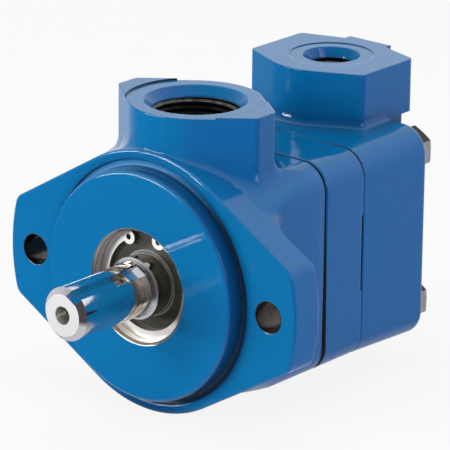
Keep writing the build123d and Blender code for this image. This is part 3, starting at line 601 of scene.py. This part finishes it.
def face_off(tree, place, colour, gloss, relief, faced):
    """Faces towards -Y that are further than faced from the shaft's axis get a nearly white painted
    highlight, with the roughness and rings of a faced cut.
    """
    looks_y = face_direction(tree)[1]
    along = node(tree, "ShaderNodeSeparateXYZ", Vector=place).outputs[1]
    off = axis_distance(tree, place, "Y")
    at_end = below(tree, along, END_REGION_Y, 1.0 * MM)
    faced_painted_highlight = overlap(tree, between(tree, looks_y, *LOOKS_FORWARD, 1.0, 0.0),
                  above(tree, off, faced, 0.1 * MM))
    if faced > 0.0:
        faced_painted_highlight = overlap(tree, faced_painted_highlight, either(tree, above(tree, off, COLLAR_RIM_R, 0.3 * MM), at_end))
    slanted = between(tree, looks_y, *SLANTED)
    slant_gloss = between(tree, along, END_REGION_Y, END_REGION_Y + 1.0 * MM, 0.11, 0.34)
    cut_gloss = maths(tree, "ADD", overlap(tree, slanted, slant_gloss),
                      maths(tree, "MULTIPLY", opposite(tree, slanted), 0.50))
    drilled = overlap(tree, below(tree, off, faced, 0.1 * MM),
                      below(tree, along, DRILLED_END_Y, 1.0 * MM))
    # forward-looking faced faces get the painted highlight
    colour = blend_colours(tree, drilled, blend_colours(tree, faced_painted_highlight, colour, FACED_PAINTED_HIGHLIGHT), DRILLED)
    gloss = maths(tree, "ADD", gloss, maths(tree, "MULTIPLY", drilled, 0.32))
    gloss = maths(tree, "ADD", overlap(tree, gloss, opposite(tree, faced_painted_highlight)), overlap(tree, faced_painted_highlight, cut_gloss))
    rings = overlap(tree, turning_lines(tree, off, FACING_PITCH), faced_painted_highlight)
    return colour, gloss, bumps(tree, rings, FACING_DEPTH, under=relief)


# %% Metals
# painted shade for the upper flats of the screws
TOP_FLAT_PAINTED_SHADE = (0.050, 0.045, 0.030, 1.0)
MARK_PITCH, MARK_LENGTH = 12000.0, 60.0  # noise scales along the axis and round it


def make_metal(name, tint, dark, rough, speckle, marks=0.0, axis=None, faced=None, painted_top_shade=False):
    finish, tree, place, skin = shader(name)
    cloud = noise(tree, place, speckle, 4.0)
    colour = blend_colours(tree, between(tree, cloud, 0.3, 0.7), dark, tint)
    # upward-looking flats get painted shade
    if painted_top_shade:
        colour = blend_colours(tree, between(tree, face_direction(tree)[2], 0.6, 0.8), colour, TOP_FLAT_PAINTED_SHADE)
    gloss = between(tree, noise(tree, place, speckle * 0.4), 0.3, 0.7, rough * 0.8, rough * 1.25)
    relief = bumps(tree, noise(tree, place, speckle * 3.0), 0.01 * MM)
    if faced is not None:
        colour, gloss, relief = face_off(tree, place, colour, gloss, relief, faced)
    if axis is not None:
        stretch = tuple(MARK_PITCH if k == "XYZ".index(axis) else MARK_LENGTH for k in range(3))
        lines = node(tree, "ShaderNodeVectorMath", _0=place, _1=stretch)
        lines.operation = "MULTIPLY"
        relief = bumps(tree, noise(tree, lines.outputs[0], 1.0, 2.0), marks, under=relief)
    connect(tree, skin, Base_Color=colour, Metallic=1.0, Roughness=gloss, Normal=relief)
    return finish


def grey(bright, warm=0.0):
    """A grey that is a little darker in green, and more so in blue, when it is warm."""
    return (bright, bright - warm, bright - 2.0 * warm, 1.0)


shaft_steel = make_metal("ground_shaft_steel", grey(0.80, 0.02), grey(0.72, 0.02), 0.075, 300.0,
                         marks=0.0012 * MM, axis="Y", faced=3.2 * MM)
plated = make_metal("plated_screw_steel", (0.60, 0.585, 0.55, 1.0), (0.50, 0.48, 0.44, 1.0),
                    0.15, 380.0, painted_top_shade=True)
clip_steel = make_metal("spring_clip_steel", (0.66, 0.60, 0.52, 1.0), (0.45, 0.40, 0.34, 1.0),
                        0.20, 420.0, faced=0.0)
race_steel = make_metal("bearing_race_steel", grey(0.70), grey(0.62), 0.10, 300.0,
                        marks=0.001 * MM, axis="Y")
pump_steel = make_metal("hardened_pump_steel", grey(0.56, 0.01), grey(0.46, 0.01), 0.18, 350.0,
                        marks=0.002 * MM, axis="Y")
plate_iron = make_metal("sintered_plate_iron", grey(0.30, 0.01), grey(0.18, 0.005), 0.48, 1800.0)
bush_bronze = make_metal("bushing_bronze", (0.72, 0.50, 0.24, 1.0), (0.58, 0.38, 0.17, 1.0),
                         0.30, 800.0)
metals = (shaft_steel, plated, clip_steel, race_steel, pump_steel, plate_iron, bush_bronze)
print("metals:", len(metals))

# %% [markdown]
# ### Moulded rubber
#
# Nitrile rubber is not metal: a dark, slightly olive base, a soft gloss from the mould, and
# a very fine grain. The thin ring at the seal's lip, stretched tight over the shaft, gets a
# pale painted reflection.

# %% Rubber
RUBBER_DARK, RUBBER_PALE = (0.032, 0.032, 0.019, 1.0), (0.052, 0.052, 0.033, 1.0)
# a pale painted reflection on the seal's lip
LIP_R, LIP_PAINTED_REFLECTION = 11.75 * MM, (0.36, 0.36, 0.33, 1.0)
MOULD_PITCH, MOULD_DEPTH = 7000.0, 0.006 * MM


def make_rubber():
    finish, tree, place, skin = shader("moulded_nitrile")
    colour = blend_colours(tree, noise(tree, place, 240.0), RUBBER_DARK, RUBBER_PALE)
    off = axis_distance(tree, place, "Y")
    # the seal's lip gets the pale painted reflection
    colour = blend_colours(tree, below(tree, off, LIP_R, 0.15 * MM), colour, LIP_PAINTED_REFLECTION)
    gloss = between(tree, noise(tree, place, 90.0), 0.3, 0.7, 0.34, 0.46)
    relief = bumps(tree, noise(tree, place, 2600.0, 3.0), 0.01 * MM)
    relief = bumps(tree, turning_lines(tree, off, MOULD_PITCH), MOULD_DEPTH, under=relief)
    connect(tree, skin, Base_Color=colour, Roughness=gloss, Normal=relief, IOR=1.5)
    return finish


rubber = make_rubber()
print("finish:", rubber.name)

# %% [markdown]
# ## Dressing the frame's own parts
#
# The parts of the frame keep their meshes. They only get the finish that belongs to them, in
# the slots that they already have. The twelve vanes are not in the list: they are hardened
# steel like the rotor.

# %% Put finishes on the parts
PARTS_OF = {
    enamel: ("mounting_body", "cam_ring", "outlet_cover"),
    plated: ("cover_bolts", "bearing_cage"),
    rubber: ("body_face_seal", "cover_face_seal", "shaft_seal", "pressure_plate_seal"),
    clip_steel: ("retaining_ring", "shaft_seal_spring", "shaft_snap_ring", "pressure_plate_spring"),
    race_steel: ("shaft_seal_case", "bearing_outer_race", "bearing_inner_race", "bearing_balls"),
    shaft_steel: ("drive_shaft",),
    plate_iron: ("pressure_plate",),
    bush_bronze: ("rear_bushing",),
}
FINISH_OF = {name: finish for finish, names in PARTS_OF.items() for name in names}
for name, part in NODES.items():
    finish = FINISH_OF.get(name, pump_steel)
    if not part.material_slots:
        part.data.materials.append(finish)
    for slot in part.material_slots:
        slot.material = finish
print("dressed parts:", len(NODES))

# %% [markdown]
# ## Port threads
#
# Hoses screw into the two upright ports. A real thread is a V-shaped ridge that winds down
# the bore. We model it the same way: a small blunt triangle stands in the plane y = 0 at the
# bore's wall, and the Screw modifier winds it round the upright axis while it moves by one
# pitch a turn. The base of the triangle lies just inside the wall, so nothing shows behind it.

# %% Modelling helpers
def only(name):
    """Deselect everything, then keep the piece that was just made, under its name."""
    piece = bpy.context.object
    bpy.ops.object.select_all(action="DESELECT")
    piece.select_set(True)
    bpy.context.view_layer.objects.active = piece
    piece.name = name
    return piece


def edit():
    """Go into edit mode and work on corners."""
    bpy.ops.object.mode_set(mode="EDIT")
    bpy.ops.mesh.select_mode(type="VERT")


def finish_piece(piece, finish, smooth_below=None):
    """Smooth the gentle edges if asked, put the finish on, and tie the piece to the housing."""
    bpy.ops.object.mode_set(mode="OBJECT")
    if smooth_below is not None:
        bpy.ops.object.shade_smooth_by_angle(angle=math.radians(smooth_below))
    piece.data.materials.clear()
    piece.data.materials.append(finish)
    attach(piece, "housing")


# %% Thread maker
ROOT_DEPTH = 0.3 * MM  # how far the ridge reaches into the wall
ROOT_HALF, CREST_HALF = 0.46, 0.06  # half heights of the ridge, in pitches
WINDING_STEPS = 56


def wind_thread(name, finish, wall, depth, pitch, top, bottom, axis_y):
    turns = int((top - bottom) / pitch)
    bpy.ops.object.select_all(action="DESELECT")
    bpy.ops.mesh.primitive_circle_add(vertices=4, radius=1.0, fill_type="NGON")
    piece = only(name)
    root, crest = wall + ROOT_DEPTH, wall - depth
    corners = [(root, 0.0, ROOT_HALF * pitch), (crest, 0.0, CREST_HALF * pitch),
               (crest, 0.0, -CREST_HALF * pitch), (root, 0.0, -ROOT_HALF * pitch)]
    for vertex, corner in zip(piece.data.vertices, corners):
        vertex.co = corner
    winding = piece.modifiers.new("winding", "SCREW")
    winding.axis, winding.screw_offset, winding.iterations = "Z", pitch, turns
    winding.steps = winding.render_steps = WINDING_STEPS
    winding.use_merge_vertices = False
    bpy.ops.object.modifier_apply(modifier="winding")
    piece.location = (0.0, axis_y, bottom + 0.5 * pitch)
    bpy.ops.object.transform_apply(location=True, rotation=True, scale=True)
    edit()
    bpy.ops.mesh.select_all(action="SELECT")
    bpy.ops.mesh.remove_doubles(threshold=0.001 * MM)
    bpy.ops.mesh.select_all(action="DESELECT")
    bpy.ops.mesh.select_non_manifold()
    bpy.ops.mesh.edge_face_add()
    bpy.ops.mesh.select_all(action="SELECT")
    bpy.ops.mesh.normals_make_consistent(inside=False)
    finish_piece(piece, finish, smooth_below=35)
    print(name, "turns:", turns, "faces:", len(piece.data.polygons))


# %% [markdown]
# The threads were cut after casting and hold a film of preserving oil, so their finish is
# dark and a little shiny. Both start at the same height and have the pitch of their size.

# %% Wind both threads
THREAD_TOP = 56.9 * MM
oiled_iron = make_metal("oiled_thread_iron", (0.15, 0.16, 0.15, 1.0), (0.055, 0.050, 0.042, 1.0),
                        0.34, 420.0)
wind_thread("inlet_thread", oiled_iron, wall=15.65 * MM, depth=0.95 * MM, pitch=2.12 * MM,
            top=THREAD_TOP, bottom=38.6 * MM, axis_y=INLET_AXIS_Y)
wind_thread("outlet_thread", oiled_iron, wall=8.70 * MM, depth=0.75 * MM, pitch=1.59 * MM,
            top=THREAD_TOP, bottom=41.0 * MM, axis_y=OUTLET_AXIS_Y)

# %% [markdown]
# ## Cast fillets at the feet of the bosses
#
# In a casting, no wall meets another at a sharp inner corner: the pattern maker leaves a
# fillet, or the metal would crack there as it cools. The two port bosses stand on curved
# ground, so their fillets have to follow it. We feel our way round each boss with rays: one
# ray from the side finds the wall, and two rays from above find the ground at the wall's
# foot and a few millimetres away from it.

# %% Feel the wall and the ground
FEELER_START = 80.0 * MM  # how far from the boss a ray sets out
FEELER_ARC = 320.0  # degrees round the boss, centred on its front
CLEAR_OF_WALL = 0.04 * MM
LEAST_ROOM = 0.2 * MM


def foot_sections(casting, axis_y, wall_z, size, front_limit, rear_limit, steps=300):
    """Cross-sections of a fillet: the corner and its two touching points, round the boss."""
    feeler = BVHTree.FromObject(casting, bpy.context.evaluated_depsgraph_get())
    down = Vector((0, 0, -1))
    sections = []
    for step in range(steps + 1):
        angle = math.radians(-90 + FEELER_ARC * (step / steps - 0.5))
        out = Vector((math.cos(angle), math.sin(angle), 0.0))
        wall, normal, _, _ = feeler.ray_cast(Vector((0, axis_y, wall_z)) + out * FEELER_START, -out)
        if wall is None or not front_limit < wall.y < rear_limit:
            continue
        normal = Vector((normal.x, normal.y, 0)).normalized()
        room = size
        if normal.y > 0.01:
            room = min(room, (rear_limit - wall.y) / normal.y)
        if normal.y < -0.01:
            room = min(room, (wall.y - front_limit) / -normal.y)
        room = max(room, LEAST_ROOM)
        near = feeler.ray_cast(wall + normal * CLEAR_OF_WALL, down)[0]
        far = feeler.ray_cast(wall + normal * room, down)[0]
        if near is None or far is None:
            continue
        corner = Vector((wall.x, wall.y, near.z))
        leg = (far - corner).length
        sections.append((corner + Vector((0, 0, leg)), corner, far, normal))
    return sections


# %% [markdown]
# Between the wall and the ground we draw a curve that touches both. The strip starts as a
# flat grid with one column for each section. Its rows are the points of the curve, one point
# sunk behind the corner, and the first point again, which closes the strip to a thin wedge.

# %% Make a strip from the sections
BEHIND_CORNER = 0.6 * MM


def cast_fillet(name, sections, finish, across=7):
    columns, rows = len(sections), across + 3
    bpy.ops.object.select_all(action="DESELECT")
    bpy.ops.mesh.primitive_grid_add(x_subdivisions=columns - 1, y_subdivisions=rows - 1, size=0.1)
    piece = only(name)
    for column, (high, corner, low, normal) in enumerate(sections):
        line = []
        for k in range(across + 1):
            t = k / across
            line.append(high * (1 - t) ** 2 + corner * 2 * t * (1 - t) + low * t**2)
        line.append(corner - normal * BEHIND_CORNER - Vector((0, 0, BEHIND_CORNER)))
        line.append(high)
        for row, place in enumerate(line):
            piece.data.vertices[row * columns + column].co = place
    edit()
    bpy.ops.mesh.select_all(action="SELECT")
    bpy.ops.mesh.remove_doubles(threshold=0.0005 * MM)
    bpy.ops.mesh.fill_holes(sides=0)
    bpy.ops.mesh.normals_make_consistent(inside=False)
    finish_piece(piece, finish, smooth_below=40)
    print(name, "sections:", columns, "faces:", len(piece.data.polygons))


# %% Both fillets
WALL_Z = 50.0 * MM  # a height at which both bosses have plain walls
inlet_sections = foot_sections(NODES["mounting_body"], INLET_AXIS_Y, WALL_Z, size=4.5 * MM,
                               front_limit=0.4 * MM, rear_limit=ring_low.y - 0.9 * MM)
cast_fillet("inlet_foot_fillet", inlet_sections, enamel_on_fillets)
outlet_sections = foot_sections(NODES["outlet_cover"], OUTLET_AXIS_Y, WALL_Z, size=3.2 * MM,
                                front_limit=ring_high.y, rear_limit=OUTLET_AXIS_Y)
cast_fillet("outlet_foot_fillet", outlet_sections, enamel_on_fillets)

# %% [markdown]
# ## Cam ring with narrow pry slots
#
# A slot in each side of the ring's rear edge takes a screwdriver when the castings are
# parted. On the real pump it is only a millimetre wide, and it lies about ten millimetres
# higher than in the frame. We take a copy of the ring's mesh, pick the corners at the ends of
# both slots, and slide them along the faces that they lie in, so every face stays flat. Then
# the wall of the slots comes nearer to the ring's edge.
#
# The copy comes as patches that only touch, one for each face of the ring. We mark their
# borders as sharp edges, so that the smoothing stops there, and then merge the corners.

# %% Pry slots
SLOT_FLOOR_X = 39.6 * MM
SLOT_OLD_WIDTH = 2.1 * MM
SLOT_OLD_LOW, SLOT_OLD_MIDDLE, SLOT_OLD_TOP = -22.01 * MM, -6.5 * MM, 9.01 * MM
RISE_LOW, RISE_TOP = 11.1 * MM, 8.6 * MM
CHAMFER_ROOM = 0.8 * MM  # the corners nearer to the edge than this belong to its chamfer
SLOT_THIN = 0.5


def pick(piece, wanted):
    """Select the corners for whose place wanted says yes."""
    bpy.ops.mesh.select_all(action="DESELECT")
    bpy.ops.object.mode_set(mode="OBJECT")
    for vertex in piece.data.vertices:
        vertex.select = wanted(vertex.co)
    edit()


def in_slot(co, low, high):
    return abs(co.x) > SLOT_FLOOR_X and co.y > ring_high.y - SLOT_OLD_WIDTH and low < co.z < high


def ring_with_narrow_slots(name, source):
    bpy.ops.object.select_all(action="DESELECT")
    bpy.ops.mesh.primitive_cube_add(size=10.0 * MM)
    piece = only(name)
    cube, piece.data = piece.data, source.data.copy()
    bpy.data.meshes.remove(cube)
    edit()
    bpy.ops.mesh.select_mode(type="EDGE")
    bpy.ops.mesh.select_all(action="DESELECT")
    bpy.ops.mesh.select_non_manifold(use_wire=False, use_multi_face=False, use_non_contiguous=False)
    bpy.ops.mesh.mark_sharp()
    bpy.ops.mesh.select_all(action="SELECT")
    bpy.ops.mesh.remove_doubles(threshold=0.001 * MM)
    pick(piece, lambda co: in_slot(co, SLOT_OLD_MIDDLE, SLOT_OLD_TOP))
    bpy.ops.transform.translate(value=(0.0, 0.0, RISE_TOP))
    pick(piece, lambda co: in_slot(co, SLOT_OLD_LOW, SLOT_OLD_MIDDLE))
    bpy.ops.transform.translate(value=(0.0, 0.0, RISE_LOW))
    pick(piece, lambda co: in_slot(co, SLOT_OLD_LOW, SLOT_OLD_TOP + RISE_TOP)
         and co.y < ring_high.y - CHAMFER_ROOM)
    bpy.ops.transform.resize(value=(1.0, SLOT_THIN, 1.0), center_override=(0.0, ring_high.y, 0.0))
    finish_piece(piece, enamel)
    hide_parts("cam_ring")
    print(name, "faces:", len(piece.data.polygons))


ring_with_narrow_slots("cam_ring_narrow_slots", NODES["cam_ring"])

# %% [markdown]
# ## Finish
#
# The script ends here.

# %% End
print("end of script")
